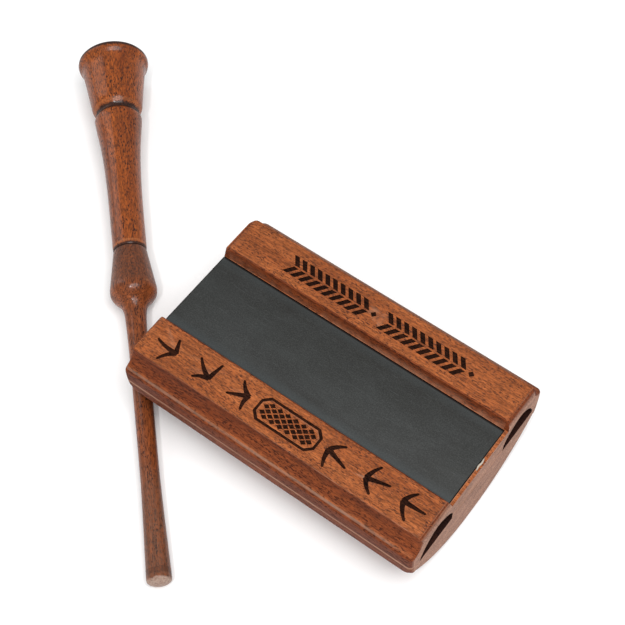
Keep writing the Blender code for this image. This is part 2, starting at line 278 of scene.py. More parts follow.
# the rolled-over right end: a quarter ellipse over the rails, and a small round on the lip
nose = [
    (RIGHT_END - NOSE_LENGTH + NOSE_LENGTH * u, RAIL_TOP - NOSE_DROP + NOSE_DROP * v)
    for u, v in arc((0, 0), 1, math.pi / 2, 0, 2 * FINE)
]
nose += [
    (RIGHT_END + 4 * CUT_MARGIN, RAIL_TOP - NOSE_DROP),
    (RIGHT_END + 4 * CUT_MARGIN, RAIL_TOP + 4 * CUT_MARGIN),
    (RIGHT_END - NOSE_LENGTH, RAIL_TOP + 4 * CUT_MARGIN),
]
past_the_side = frame_high.y + END_MARGIN
nose_tool = extruded(nose, "Y", -past_the_side, past_the_side)
cut_away(rail_frame, new_piece("nose_tool", nose_tool))

# the two sound tunnels
PORT_POWER = 1.6


def port_arch(reach, rise, base):
    """A quarter of a slightly pointed arch, from its foot to its peak."""
    points = []
    for step in range(2 * FINE + 1):
        angle = math.pi / 2 * step / (2 * FINE)
        across = reach * math.cos(angle) ** (2 / PORT_POWER)
        points.append((across, base + rise * math.sin(angle) ** (2 / PORT_POWER)))
    return points


for side in (-1, 1):
    inner = port_arch(PORT_PEAK - PORT_INNER, PORT_HEIGHT - PORT_WALL, PORT_WALL)
    outer = port_arch(PORT_OUTER - PORT_PEAK, PORT_HEIGHT, 0)
    arch = [(PORT_PEAK - across, SEAM_Z + rise) for across, rise in inner]
    arch += [(PORT_PEAK + across, SEAM_Z + rise) for across, rise in reversed(outer[:-1])]
    arch += [(PORT_OUTER, SEAM_Z - CUT_MARGIN), (PORT_INNER, SEAM_Z - CUT_MARGIN)]
    arch = [(side * y, z) for y, z in arch]
    port = extruded(arch, "X", LEFT_END - END_MARGIN, RIGHT_END + END_MARGIN)
    cut_away(rail_frame, new_piece("port_tool", port))

# the outer corners at both ends are sanded round, most of all at the far left
CORNER_ROUND_RIGHT = 0.0018
CORNER_ROUND_LEFT = 0.0010
CORNER_ROUND_FAR_LEFT = 0.0024
CORNER_STEPS = 5
CORNER_TOP_SHARE = 0.7    # how much of it the rail tops lose in height
EASE_WIDTH = 0.00035
EASE_ANGLE = math.radians(38)


def end_inset(x, y=0.0):
    """How far the outer side is drawn in at a place along the box, more at the far left."""
    radius = CORNER_ROUND_RIGHT if x > 0 else CORNER_ROUND_LEFT
    if x < 0 < y:
        radius = CORNER_ROUND_FAR_LEFT
    depth = RIGHT_END - abs(x)
    if depth >= radius:
        return 0.0
    return radius - math.sqrt(max(0.0, radius**2 - (radius - depth) ** 2))


def slice_near_ends(solid, radii, steps):
    """Adds rings of points near both ends, closer together towards the end."""
    places = []
    for side, radius in zip((1, -1), radii):
        for step in range(steps + 1):
            depth = radius * (1 - math.cos(math.pi / 2 * step / steps))
            places.append(side * (RIGHT_END - depth))
    for place in places:
        bmesh.ops.bisect_plane(
            solid, geom=solid.verts[:] + solid.edges[:] + solid.faces[:],
            dist=TOUCHING, plane_co=(place, 0, 0), plane_no=(1, 0, 0),
        )


eased = bmesh.new()
eased.from_mesh(rail_frame.data)
bmesh.ops.remove_doubles(eased, verts=eased.verts, dist=TOUCHING)
slice_near_ends(eased, (CORNER_ROUND_RIGHT, CORNER_ROUND_FAR_LEFT), CORNER_STEPS)
PORT_TOP = SEAM_Z + PORT_HEIGHT + 0.0001
for vert in eased.verts:
    inset = end_inset(vert.co.x, vert.co.y)
    outer_limit = RAIL_OUTER - EDGE_RADIUS - 10 * TOUCHING
    if vert.co.z < PORT_TOP:
        outer_limit = PORT_OUTER + CUT_MARGIN
    if abs(vert.co.y) > outer_limit:
        vert.co.y -= math.copysign(inset, vert.co.y)
    if vert.co.x < 0 and vert.co.z > RAIL_TOP - EDGE_RADIUS - 10 * TOUCHING:
        vert.co.z -= min(inset, CORNER_ROUND_LEFT) * CORNER_TOP_SHARE

# every other sharp edge at the ends is eased with fine paper
sharp = [
    edge
    for edge in eased.edges
    if len(edge.link_faces) == 2
    and edge.calc_face_angle() > EASE_ANGLE
    and min(vert.co.z for vert in edge.verts) > SEAM_Z + 0.0002
    and max(abs(vert.co.x) for vert in edge.verts) > WINDOW_LENGTH + 0.001
    and abs(edge.verts[0].co.x - edge.verts[1].co.x) < 0.02
    and not (abs(edge.verts[0].co.y) < CHANNEL_HALF + 0.0002 and edge.verts[0].co.x < 0)
]
bmesh.ops.bevel(
    eased, geom=sharp, offset=EASE_WIDTH, segments=3,
    profile=0.5, affect="EDGES", material=-1, clamp_overlap=True,
)
eased.to_mesh(rail_frame.data)
eased.free()


# The wood's finish: growth bands, fibres, dark pores and smoky patches come from one node group,
# and rubbed edges from another. Each material sets its own values and adds its own marks.
def socket(group, name, kind, way, value=None):
    """A named input or output of a node group."""
    made = group.interface.new_socket(name=name, in_out=way, socket_type=kind)
    if value is not None:
        made.default_value = value


def add_node(tree, kind, **settings):
    """A new node with its settings."""
    node = tree.nodes.new(kind)
    for key, value in settings.items():
        setattr(node, key, value)
    return node


def math_node(tree, operation, first, second=None, clamp=False):
    """A Math node fed by sockets or numbers; gives its output."""
    node = add_node(tree, "ShaderNodeMath", operation=operation, use_clamp=clamp)
    for place, value in enumerate((first, second)):
        if value is None:
            continue
        if isinstance(value, (int, float)):
            node.inputs[place].default_value = value
        else:
            tree.links.new(value, node.inputs[place])
    return node.outputs[0]


def times(tree, first, second, clamp=False):
    """First times second."""
    return math_node(tree, "MULTIPLY", first, second, clamp)


def plus(tree, first, second, clamp=False):
    """First plus second."""
    return math_node(tree, "ADD", first, second, clamp)


def minus(tree, first, second, clamp=False):
    """First minus second."""
    return math_node(tree, "SUBTRACT", first, second, clamp)


def mix_colour(tree, mode, factor, first, second):
    """A colour Mix node fed by sockets, numbers or colours; gives its output."""
    node = add_node(tree, "ShaderNodeMix", data_type="RGBA", blend_type=mode)
    for place, value in ((0, factor), (6, first), (7, second)):
        if isinstance(value, (int, float)):
            node.inputs[place].default_value = value
        elif isinstance(value, tuple):
            node.inputs[place].default_value = (*value, 1.0)
        else:
            tree.links.new(value, node.inputs[place])
    return node.outputs[2]


def ramp(tree, value, stops):
    """A ColorRamp from (place, grey level) pairs; gives its colour output."""
    node = add_node(tree, "ShaderNodeValToRGB")
    elements = node.color_ramp.elements
    elements[0].position, elements[1].position = stops[0][0], stops[-1][0]
    for place, _ in stops[1:-1]:
        elements.new(place)
    for element, (_, level) in zip(elements, stops):
        element.color = (level, level, level, 1)
    tree.links.new(value, node.inputs[0])
    return node.outputs[0]


def noise(tree, vector, scale, detail=3.0, roughness=0.55, distortion=0.0):
    """Noise with a scale of its own along each axis, in cycles per metre."""
    stretch = add_node(tree, "ShaderNodeVectorMath", operation="MULTIPLY")
    tree.links.new(vector, stretch.inputs[0])
    stretch.inputs[1].default_value = scale
    node = add_node(tree, "ShaderNodeTexNoise")
    node.inputs["Scale"].default_value = 1.0
    node.inputs["Detail"].default_value = detail
    node.inputs["Roughness"].default_value = roughness
    node.inputs["Distortion"].default_value = distortion
    tree.links.new(stretch.outputs[0], node.inputs["Vector"])
    return node.outputs["Fac"]


def make_wood_group():
    """Oiled open-pored wood. Vector's X runs along the grain, in metres."""
    group = bpy.data.node_groups.new("oiled_wood_grain", "ShaderNodeTree")
    socket(group, "Vector", "NodeSocketVector", "INPUT")
    socket(group, "Light wood", "NodeSocketColor", "INPUT", (0.4, 0.16, 0.07, 1))
    socket(group, "Dark wood", "NodeSocketColor", "INPUT", (0.2, 0.07, 0.03, 1))
    socket(group, "Pore colour", "NodeSocketColor", "INPUT", (0.05, 0.02, 0.01, 1))
    socket(group, "Pore amount", "NodeSocketFloat", "INPUT", 0.7)
    socket(group, "Fibre contrast", "NodeSocketFloat", "INPUT", 0.5)
    socket(group, "Smoke", "NodeSocketFloat", "INPUT", 0.3)
    socket(group, "Colour", "NodeSocketColor", "OUTPUT")
    socket(group, "Roughness shift", "NodeSocketFloat", "OUTPUT")
    socket(group, "Height", "NodeSocketFloat", "OUTPUT")
    inside = add_node(group, "NodeGroupInput")
    outside = add_node(group, "NodeGroupOutput")
    vector = inside.outputs["Vector"]
    broad = noise(group, vector, (14, 95, 95), 3, 0.5, 0.6)
    bands = noise(group, vector, (22, 620, 620), 4, 0.6, 0.3)
    fibres = noise(group, vector, (330, 1800, 1800), 4, 0.66)
    flecks = noise(group, vector, (760, 2700, 2700), 2, 0.55)
    where = noise(group, vector, (70, 320, 320), 2, 0.5)
    smoke = noise(group, vector, (38, 70, 70), 3, 0.55, 0.8)
    tone = times(group, broad, 0.45)
    tone = plus(group, tone, times(group, bands, 0.55))
    tone = ramp(group, tone, [(0.36, 0.0), (0.50, 0.45), (0.64, 1.0)])
    dark, light = inside.outputs["Dark wood"], inside.outputs["Light wood"]
    colour = mix_colour(group, "MIX", tone, dark, light)
    fibre = ramp(group, fibres, [(0.32, 0.42), (0.48, 0.92), (0.66, 1.45)])
    strength = inside.outputs["Fibre contrast"]
    colour = mix_colour(group, "MULTIPLY", strength, colour, fibre)
    dusk = ramp(group, smoke, [(0.50, 0.0), (0.68, 1.0)])
    dusk = times(group, dusk, inside.outputs["Smoke"], clamp=True)
    colour = mix_colour(group, "MIX", dusk, colour, inside.outputs["Pore colour"])
    fleck = ramp(group, flecks, [(0.530, 0.0), (0.600, 1.0)])
    gate = ramp(group, where, [(0.34, 0.45), (0.60, 1.0)])
    pore = times(group, fleck, gate)
    pore = times(group, pore, inside.outputs["Pore amount"], clamp=True)
    colour = mix_colour(group, "MIX", pore, colour, inside.outputs["Pore colour"])
    group.links.new(colour, outside.inputs["Colour"])
    shift = times(group, pore, 0.25)
    shift = plus(group, shift, times(group, broad, 0.12))
    group.links.new(shift, outside.inputs["Roughness shift"])
    height = times(group, fibres, 0.35)
    height = minus(group, height, pore)
    group.links.new(height, outside.inputs["Height"])
    return group


wood_group = make_wood_group()


def make_wear_group():
    """Rubbed edges and handling: a mask of convex edges, broken up, and a slow greasy variation."""
    group = bpy.data.node_groups.new("edge_wear", "ShaderNodeTree")
    socket(group, "Vector", "NodeSocketVector", "INPUT")
    socket(group, "Low", "NodeSocketFloat", "INPUT", 0.52)
    socket(group, "High", "NodeSocketFloat", "INPUT", 0.62)
    socket(group, "Edge", "NodeSocketFloat", "OUTPUT")
    socket(group, "Handling", "NodeSocketFloat", "OUTPUT")
    inside = add_node(group, "NodeGroupInput")
    outside = add_node(group, "NodeGroupOutput")
    geometry = add_node(group, "ShaderNodeNewGeometry")
    spread = add_node(group, "ShaderNodeMapRange")
    group.links.new(geometry.outputs["Pointiness"], spread.inputs["Value"])
    group.links.new(inside.outputs["Low"], spread.inputs["From Min"])
    group.links.new(inside.outputs["High"], spread.inputs["From Max"])
    broken = noise(group, inside.outputs["Vector"], (260, 260, 260), 3, 0.6)
    broken = ramp(group, broken, [(0.35, 0.2), (0.60, 1.0)])
    edge = times(group, spread.outputs["Result"], broken, clamp=True)
    group.links.new(edge, outside.inputs["Edge"])
    handling = noise(group, inside.outputs["Vector"], (45, 45, 45), 4, 0.6)
    group.links.new(handling, outside.inputs["Handling"])
    return group


wear_group = make_wear_group()


def start_material(name):
    """A new material, its node tree and its shader."""
    material = bpy.data.materials.new(name)
    material.use_nodes = True
    return material, material.node_tree, material.node_tree.nodes["Principled BSDF"]


def place_group(tree, group, vector, **values):
    """Puts a group in a material and sets its own values; an underscore stands for a space."""
    node = add_node(tree, "ShaderNodeGroup", node_tree=group)
    tree.links.new(vector, node.inputs["Vector"])
    for key, value in values.items():
        node.inputs[key.replace("_", " ")].default_value = value
    return node


def object_coordinates(tree, location=(0, 0, 0), rotation=(0, 0, 0)):
    """Object coordinates, moved and turned by a Mapping node."""
    coordinates = add_node(tree, "ShaderNodeTexCoord")
    mapping = add_node(tree, "ShaderNodeMapping", vector_type="TEXTURE")
    mapping.inputs["Location"].default_value = location
    mapping.inputs["Rotation"].default_value = rotation
    tree.links.new(coordinates.outputs["Object"], mapping.inputs["Vector"])
    return mapping.outputs["Vector"]


def split_xyz(tree, vector):
    """The X, Y and Z outputs of a vector."""
    node = add_node(tree, "ShaderNodeSeparateXYZ")
    tree.links.new(vector, node.inputs[0])
    return node.outputs


def paint(tree, shader, colour, rough):
    """Feeds the shader's colour and roughness."""
    tree.links.new(colour, shader.inputs["Base Color"])
    tree.links.new(rough, shader.inputs["Roughness"])


def bump(tree, shader, height, distance, strength):
    """Raises the surface by a height that varies over it."""
    node = add_node(tree, "ShaderNodeBump")
    node.inputs["Distance"].default_value = distance
    node.inputs["Strength"].default_value = strength
    tree.links.new(height, node.inputs["Height"])
    tree.links.new(node.outputs["Normal"], shader.inputs["Normal"])


def end_mask(tree):
    """One on faces that look along X, where end grain shows, and how far each face looks up."""
    geometry = add_node(tree, "ShaderNodeNewGeometry")
    facing = split_xyz(tree, geometry.outputs["True Normal"])
    along = math_node(tree, "ABSOLUTE", facing["X"])
    return ramp(tree, along, [(0.82, 0.0), (0.97, 1.0)]), facing["Z"]


def step_up(tree, value, low, high, shape="SMOOTHSTEP"):
    """Rises from nothing at the low value to one at the high value."""
    node = add_node(tree, "ShaderNodeMapRange", interpolation_type=shape)
    tree.links.new(value, node.inputs["Value"])
    node.inputs["From Min"].default_value = low
    node.inputs["From Max"].default_value = high
    return node.outputs["Result"]


def band_mask(tree, value, low, high, softness):
    """One between two values, falling to nothing over the softness on either side."""
    rise = step_up(tree, value, low - softness, low)
    fall = step_up(tree, value, high, high + softness)
    return minus(tree, rise, fall, clamp=True)


def box_wood(name, light, dark, pores, roughness, painted_side_shade):
    """The sound box's wood: grain along X, and pale fine end grain on the ends.

    The steep sides are duller, and darker with painted shade. They carry a faint painted
    highlight line in the cove, a pale band of painted light from below just above the seam,
    and the dark line of the seam itself.
    """
    material, tree, shader = start_material(name)
    vector = object_coordinates(tree)
    grain = place_group(
        tree, wood_group, vector, Light_wood=(*light, 1), Dark_wood=(*dark, 1),
        Pore_colour=(*pores, 1), Pore_amount=0.85, Fibre_contrast=0.90, Smoke=0.22,
    )
    wear = place_group(tree, wear_group, vector, Low=0.53, High=0.66)
    colour = grain.outputs["Colour"]
    place = split_xyz(tree, vector)
    patchy = noise(tree, vector, (35, 500, 900), 3, 0.6)
    patchy = ramp(tree, patchy, [(0.30, 0.25), (0.62, 0.90)])
    # painted light: a pale band just above the seam stands for light thrown up from the floor onto
    # the lower sides
    painted_floor_light_band = band_mask(tree, place["Z"], SEAM_Z + 0.0002, SEAM_Z + 0.0012, 0.0007)
    painted_floor_light_band = times(tree, painted_floor_light_band, patchy)
    # painted highlight: a thin pale line along the cove, fading near the right end
    brow = RAIL_TOP - EDGE_RADIUS - COVE_RADIUS * math.sin(COVE_SWEEP)
    painted_cove_highlight = band_mask(tree, place["Z"], brow - 0.0001, brow + 0.0001, 0.0002)
    left_part = band_mask(tree, place["X"], LEFT_END + 0.001, RIGHT_END - 0.010, 0.006)
    painted_cove_highlight = times(tree, painted_cove_highlight, left_part)
    painted_cove_highlight = times(tree, painted_cove_highlight, patchy)
    ends, upward = end_mask(tree)
    # painted shade: the steep sides get a darker colour multiplied in, for the light that falls less
    # on them
    steep = ramp(tree, upward, [(0.0, 1.0), (0.80, 0.85), (0.96, 0.0)])
    shade = times(tree, steep, 0.90)
    colour = mix_colour(tree, "MULTIPLY", shade, colour, painted_side_shade)
    painted_floor_light_band = times(tree, painted_floor_light_band, steep)
    colour = mix_colour(tree, "MIX", painted_floor_light_band, colour, (0.400, 0.205, 0.125))
    seam_line = band_mask(tree, place["Z"], SEAM_Z - 0.00015, SEAM_Z + 0.00015, 0.00015)
    seam_depth = times(tree, steep, 0.85)
    seam_line = times(tree, seam_line, seam_depth)
    colour = mix_colour(tree, "MIX", seam_line, colour, pores)
    painted_cove_highlight = times(tree, painted_cove_highlight, 0.70)
    colour = mix_colour(tree, "MIX", painted_cove_highlight, colour, (0.230, 0.150, 0.110))
    speck = noise(tree, vector, (500, 2400, 2400), 3, 0.6)
    speck = ramp(tree, speck, [(0.38, 0.55), (0.56, 1.0), (0.75, 1.2)])
    rings = noise(tree, vector, (4, 60, 340), 3, 0.5, 0.6)
    rings = ramp(tree, rings, [(0.35, 0.78), (0.65, 1.12)])
    end_colour = mix_colour(tree, "MULTIPLY", 1.0, (0.400, 0.222, 0.160), speck)
    end_colour = mix_colour(tree, "MULTIPLY", 1.0, end_colour, rings)
    colour = mix_colour(tree, "MIX", ends, colour, end_colour)
    edge = times(tree, wear.outputs["Edge"], 0.55)
    colour = mix_colour(tree, "MIX", edge, colour, (0.40, 0.20, 0.12))
    rough = plus(tree, grain.outputs["Roughness shift"], roughness)
    rough = plus(tree, rough, times(tree, ends, 0.22))
    rough = plus(tree, rough, times(tree, steep, 0.26))
    slick = times(tree, wear.outputs["Handling"], 0.16)
    rough = minus(tree, rough, slick, clamp=True)
    paint(tree, shader, colour, rough)
    shader.inputs["Specular IOR Level"].default_value = 0.18
    bump(tree, shader, grain.outputs["Height"], 0.00012, 0.55)
    return material


# the last colour is the painted shade multiplied into the steep sides
rail_wood = box_wood(
    "oiled_red_rail_wood", (0.365, 0.108, 0.031), (0.225, 0.057, 0.015),
    (0.045, 0.012, 0.006), 0.42, (0.45, 0.29, 0.19),
)

def bare_wood(name, light, dark, pores, amounts, roughness, specular, depth):
    """Wood without oil. amounts are the pores, the fibre contrast and the smoke."""
    material, tree, shader = start_material(name)
    pore_amount, fibre_contrast, smoke = amounts
    grain = place_group(
        tree, wood_group, object_coordinates(tree), Light_wood=(*light, 1), Dark_wood=(*dark, 1),
        Pore_colour=(*pores, 1), Pore_amount=pore_amount, Fibre_contrast=fibre_contrast,
        Smoke=smoke,
    )
    rough = plus(tree, grain.outputs["Roughness shift"], roughness)
    paint(tree, shader, grain.outputs["Colour"], rough)
    shader.inputs["Specular IOR Level"].default_value = specular
    bump(tree, shader, grain.outputs["Height"], *depth)
    return material


# the inside of the tunnels and the window is left raw, and painted near black as shade
hollow_wood = bare_wood(
    "shaded_raw_hollow_wood", (0.030, 0.009, 0.005), (0.014, 0.004, 0.003),
    (0.005, 0.002, 0.002), (0.8, 0.6, 0.5), 0.70, 0.10, (0.0002, 0.6),
)
# burnt wood at the bottom of the ornament is near black, dry and finely cracked
burnt_wood = bare_wood(
    "burnt_ornament_wood", (0.036, 0.011, 0.005), (0.013, 0.004, 0.002),
    (0.003, 0.002, 0.002), (0.9, 0.7, 0.3), 0.62, 0.05, (0.00025, 0.8),
)

rail_frame.data.materials.clear()
rail_frame.data.materials.append(rail_wood)
rail_frame.data.materials.append(hollow_wood)
for face in rail_frame.data.polygons:
    out, height = abs(face.center.y), face.center.z
    flat_end = abs(face.normal.x) > 0.9
    in_port = PORT_INNER - 0.0001 <= out <= PORT_OUTER and height < PORT_TOP
    in_window = out < WINDOW_HALF + 0.0001 and height < LEDGE
    if not flat_end and height > SEAM_Z + 0.00005 and (in_port or in_window):
        face.material_index = 1


# The ornament: a walking line of three-toed tracks on the near rail round an eight-sided lattice
# panel, and a herringbone band on the far rail. Each toe tapers from the heel out. The sizes of the
# ornament are in millimetres.
MM = 0.001


def ornament_tool(name, outlines):
    """Flat outlines on the rail top, as one solid that reaches just under the surface."""
    joined = bmesh.new()
    for outline in outlines:
        stroke = extruded(outline, "Z", RAIL_TOP - ENGRAVE_DEPTH, RAIL_TOP + CUT_MARGIN)
        scratch = bpy.data.meshes.new("stroke")
        stroke.to_mesh(scratch)
        stroke.free()
        joined.from_mesh(scratch)
        bpy.data.meshes.remove(scratch)
    return new_piece(name, joined)


def stroke_outline(start, end, start_width, end_width, bend=0.0, steps=6):
    """A tapered stroke with round ends, bowed to one side, from widths in millimetres."""
    start, end = Vector(start) * MM, Vector(end) * MM
    along = (end - start).normalized()
    across = Vector((-along.y, along.x))
    left, right = [], []
    for step in range(steps + 1):
        share = step / steps
        centre = start.lerp(end, share) + across * bend * MM * math.sin(math.pi * share)
        width = (start_width + (end_width - start_width) * share) * MM / 2
        left.append(centre + across * width)
        right.append(centre - across * width)
    tip = [end + along * end_width * MM * 0.45]
    tail = [start - along * start_width * MM * 0.30]
    return [tuple(point) for point in left + tip + right[::-1] + tail]


# each track's heel, and the tips of its three toes
TRACKS = (
    ((-44.0, -25.6), ((-52.0, -24.6), (-46.0, -21.0), (-47.8, -30.6))),
    ((-29.8, -26.6), ((-36.2, -21.9), (-28.9, -20.2), (-34.6, -29.0))),
    ((-15.4, -24.2), ((-19.8, -20.4), (-21.9, -27.2), (-14.8, -29.4))),
    ((16.2, -24.2), ((20.2, -20.4), (23.9, -26.6), (17.9, -30.2))),
    ((31.1, -25.3), ((33.1, -19.6), (38.8, -23.3), (34.9, -29.3))),
    ((44.7, -25.0), ((47.2, -20.4), (52.6, -24.7), (48.5, -30.2))),
)
HEEL_WIDTH = 1.90
TOE_WIDTH = 0.85
TOE_BOW = 0.40
for heel, toes in TRACKS:
    for place, toe in enumerate(toes):
        bow = TOE_BOW * (1 - place)
        outline = stroke_outline(heel, toe, HEEL_WIDTH, TOE_WIDTH, bow)
        cut_away(rail_frame, ornament_tool("track_tool", [outline]), burnt_wood)

# the lattice panel: an eight-sided border line with rows of close diamonds inside it
PANEL_LEFT, PANEL_RIGHT = -11.4, 12.6
PANEL_LOW, PANEL_HIGH = -29.6, -20.0
PANEL_CORNER = 2.4
BORDER_WIDTH = 0.95


def panel_ring(inset):
    """The panel's eight corners, drawn in by an amount."""
    left, right = PANEL_LEFT + inset, PANEL_RIGHT - inset
    low, high = PANEL_LOW + inset, PANEL_HIGH - inset
    corner = PANEL_CORNER - inset * 0.4
    return [
        (left + corner, low), (right - corner, low), (right, low + corner),
        (right, high - corner), (right - corner, high), (left + corner, high),
        (left, high - corner), (left, low + corner),
    ]


def lozenge(centre, half_length, half_width):
    """A four-sided diamond."""
    x, y = centre
    points = ((x + half_length, y), (x, y + half_width), (x - half_length, y), (x, y - half_width))
    return [(u * MM, v * MM) for u, v in points]


border_solid = bmesh.new()
border_edges = []
for inset in (0.0, BORDER_WIDTH):
    corners = [(u * MM, v * MM, RAIL_TOP - ENGRAVE_DEPTH) for u, v in panel_ring(inset)]
    ring = [border_solid.verts.new(corner) for corner in corners]
    border_edges += [border_solid.edges.new(pair) for pair in zip(ring, ring[1:] + ring[:1])]
bmesh.ops.bridge_loops(border_solid, edges=border_edges)
swept = bmesh.ops.extrude_face_region(border_solid, geom=border_solid.faces[:])
raised = [part for part in swept["geom"] if isinstance(part, bmesh.types.BMVert)]
bmesh.ops.translate(border_solid, vec=(0, 0, ENGRAVE_DEPTH + CUT_MARGIN), verts=raised)
bmesh.ops.recalc_face_normals(border_solid, faces=border_solid.faces)
cut_away(rail_frame, new_piece("panel_border_tool", border_solid), burnt_wood)

# every other row of diamonds is shifted by half a step
DIAMOND_STEP = 3.05
DIAMOND_ROW = 1.18
DIAMOND_HALF = (1.22, 0.90)
panel_middle = ((PANEL_LEFT + PANEL_RIGHT) / 2, (PANEL_LOW + PANEL_HIGH) / 2)
diamonds = []
for row in range(-2, 3):
    count = 6 if row % 2 == 0 else 7
    for column in range(count):
        x = panel_middle[0] + (column - (count - 1) / 2) * DIAMOND_STEP
        diamonds.append(lozenge((x, panel_middle[1] + row * DIAMOND_ROW), *DIAMOND_HALF))
cut_away(rail_frame, ornament_tool("lattice_tool", diamonds), burnt_wood)

# the far rail's band: two runs of bold herringbone, like the vane of a feather, with end dots
BAND_STARTS = (-33.6, 4.6)
BAND_BARBS = 10
BAND_DOT = 1.15
BAND_Y = 24.55
VANE_HALF = 3.75
VANE_LEAN = 2.5
VANE_THICK = 1.95
SPINE_GAP = 0.30
VANE_STEP = 3.15


def barb(x, way):
    """One slanting barb of the vane, above the spine for way 1 and below it for way -1."""
    near = BAND_Y + way * SPINE_GAP
    far = BAND_Y + way * VANE_HALF
    lean, back = x - VANE_LEAN, x + VANE_THICK
    points = ((x, near), (back, near), (back - VANE_LEAN, far), (lean, far))
    return [(u * MM, v * MM) for u, v in points]


band = []
for run_start in BAND_STARTS:
    for place in range(BAND_BARBS):
        for way in (-1, 1):
            band.append(barb(run_start + place * VANE_STEP, way))
    dot_x = run_start + BAND_BARBS * VANE_STEP + 0.9
    band.append(lozenge((dot_x, BAND_Y), BAND_DOT, BAND_DOT))
cut_away(rail_frame, ornament_tool("vane_tool", band), burnt_wood)

shade_smooth(rail_frame, 24)
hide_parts("rail_frame")
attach(rail_frame, "call")


# ---- belly -------------------------------------------------------------------------------------
# The lower half of the sound box: a block of the same wood shaped to a wide arc that fits the palm,
# hollowed from above and glued under the rail frame. Its lower edge is sanded round at both ends.
BELLY_RADIUS = 0.0473
REST_HALF = 0.005         # half of the flat that the call stands on
BELLY_CENTRE = math.sqrt(BELLY_RADIUS**2 - REST_HALF**2)
CORNER_HEIGHT = 0.0165
BELLY_TOP = SEAM_Z - GLUE_GAP / 5
END_ROUND_RIGHT = 0.0035
END_ROUND_LEFT = 0.0020
HOLLOW_HALF = 0.0210
HOLLOW_WALL = 0.0065

belly_half = [
    (side_point(BELLY_TOP) - EDGE_RADIUS / 3, BELLY_TOP),
    (side_point(BELLY_TOP), BELLY_TOP - EDGE_RADIUS / 3),
]
for step in range(1, 6):
    height = BELLY_TOP + (CORNER_HEIGHT - BELLY_TOP) * step / 6
    belly_half.append((side_point(height), height))
corner_angle = math.asin((CORNER_HEIGHT - BELLY_CENTRE) / BELLY_RADIUS)
rest_angle = -math.acos(REST_HALF / BELLY_RADIUS)
belly_half += arc((0, BELLY_CENTRE), BELLY_RADIUS, corner_angle, rest_angle, 4 * FINE)
belly_outline = belly_half + [(-y, z) for y, z in reversed(belly_half)]
belly_solid = extruded(belly_outline, "X", LEFT_END, RIGHT_END)

# the lower edge is drawn in towards the arc's centre near both ends, and the sides follow the frame
slice_near_ends(belly_solid, (END_ROUND_RIGHT, END_ROUND_LEFT), 7)
for vert in belly_solid.verts:
    radius = END_ROUND_RIGHT if vert.co.x > 0 else END_ROUND_LEFT
    depth = RIGHT_END - abs(vert.co.x)
    if depth >= radius:
        continue
    inset = radius - math.sqrt(max(0.0, radius**2 - (radius - depth) ** 2))
    side_limit = abs(vert.co.y) - end_inset(vert.co.x, vert.co.y)
    share = 1.0
    if vert.co.z > CORNER_HEIGHT + 1e-6:
        share = 1 - (vert.co.z - CORNER_HEIGHT) / (BELLY_TOP - CORNER_HEIGHT)
        share = max(0.0, share) ** 2 * 0.75
    inward = Vector((0, -vert.co.y, BELLY_CENTRE - vert.co.z)).normalized()
    vert.co += inward * inset * share
    if vert.co.z > CORNER_HEIGHT and abs(vert.co.y) > side_limit:
        vert.co.y = math.copysign(side_limit, vert.co.y)
belly = new_piece("belly_wood", belly_solid)

hollow_radius = BELLY_RADIUS - HOLLOW_WALL
hollow_start = -math.acos(HOLLOW_HALF / hollow_radius)
hollow_line = arc((0, BELLY_CENTRE), hollow_radius, hollow_start, -math.pi - hollow_start, 2 * FINE)
hollow_line += [(-HOLLOW_HALF, BELLY_TOP + 0.002), (HOLLOW_HALF, BELLY_TOP + 0.002)]
hollow_tool = extruded(hollow_line, "X", -WINDOW_LENGTH, WINDOW_LENGTH)
cut_away(belly, new_piece("hollow_tool", hollow_tool))

# the last colour is the painted shade multiplied into the steep sides
belly_wood = box_wood(
    "oiled_red_belly_wood", (0.330, 0.100, 0.032), (0.180, 0.046, 0.014),
    (0.040, 0.012, 0.006), 0.44, (0.66, 0.46, 0.34),
)
belly.data.materials.clear()
belly.data.materials.append(belly_wood)
belly.data.materials.append(hollow_wood)
for face in belly.data.polygons:
    centre = face.center
    within = abs(centre.y) < HOLLOW_HALF + 0.0001 and abs(centre.x) < WINDOW_LENGTH + 0.0001
    on_top = face.normal.z > 0.9 and centre.z > BELLY_TOP - 0.0001
    if on_top or (within and face.normal.z > -0.5 and centre.z > HOLLOW_WALL - 0.0008):
        face.material_index = 1
shade_smooth(belly, 24)
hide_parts("belly")
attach(belly, "call")


# ---- slate -------------------------------------------------------------------------------------
# A thin plate of grey-green slate, sawn and rubbed flat, with slightly eased edges. Its top is
# conditioned with an abrasive stone, which leaves fine scratches and a soft grey bloom.
SLATE_EASE = 0.00025
RIM_BLOOM_FROM = 0.0118   # half width where the bluish bloom along the long edges begins
SHADOW_GAP_WIDTH = 0.00045
slate_low, slate_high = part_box("slate")
slate_solid = bmesh.new()
bmesh.ops.create_cube(slate_solid, size=1)
bmesh.ops.scale(slate_solid, vec=slate_high - slate_low, verts=slate_solid.verts)
bmesh.ops.translate(slate_solid, vec=(slate_high + slate_low) / 2, verts=slate_solid.verts)
bmesh.ops.bevel(
    slate_solid, geom=slate_solid.edges[:], offset=SLATE_EASE, segments=2,
    profile=0.5, affect="EDGES", material=-1,
)
slate = new_piece("slate_plate", slate_solid)

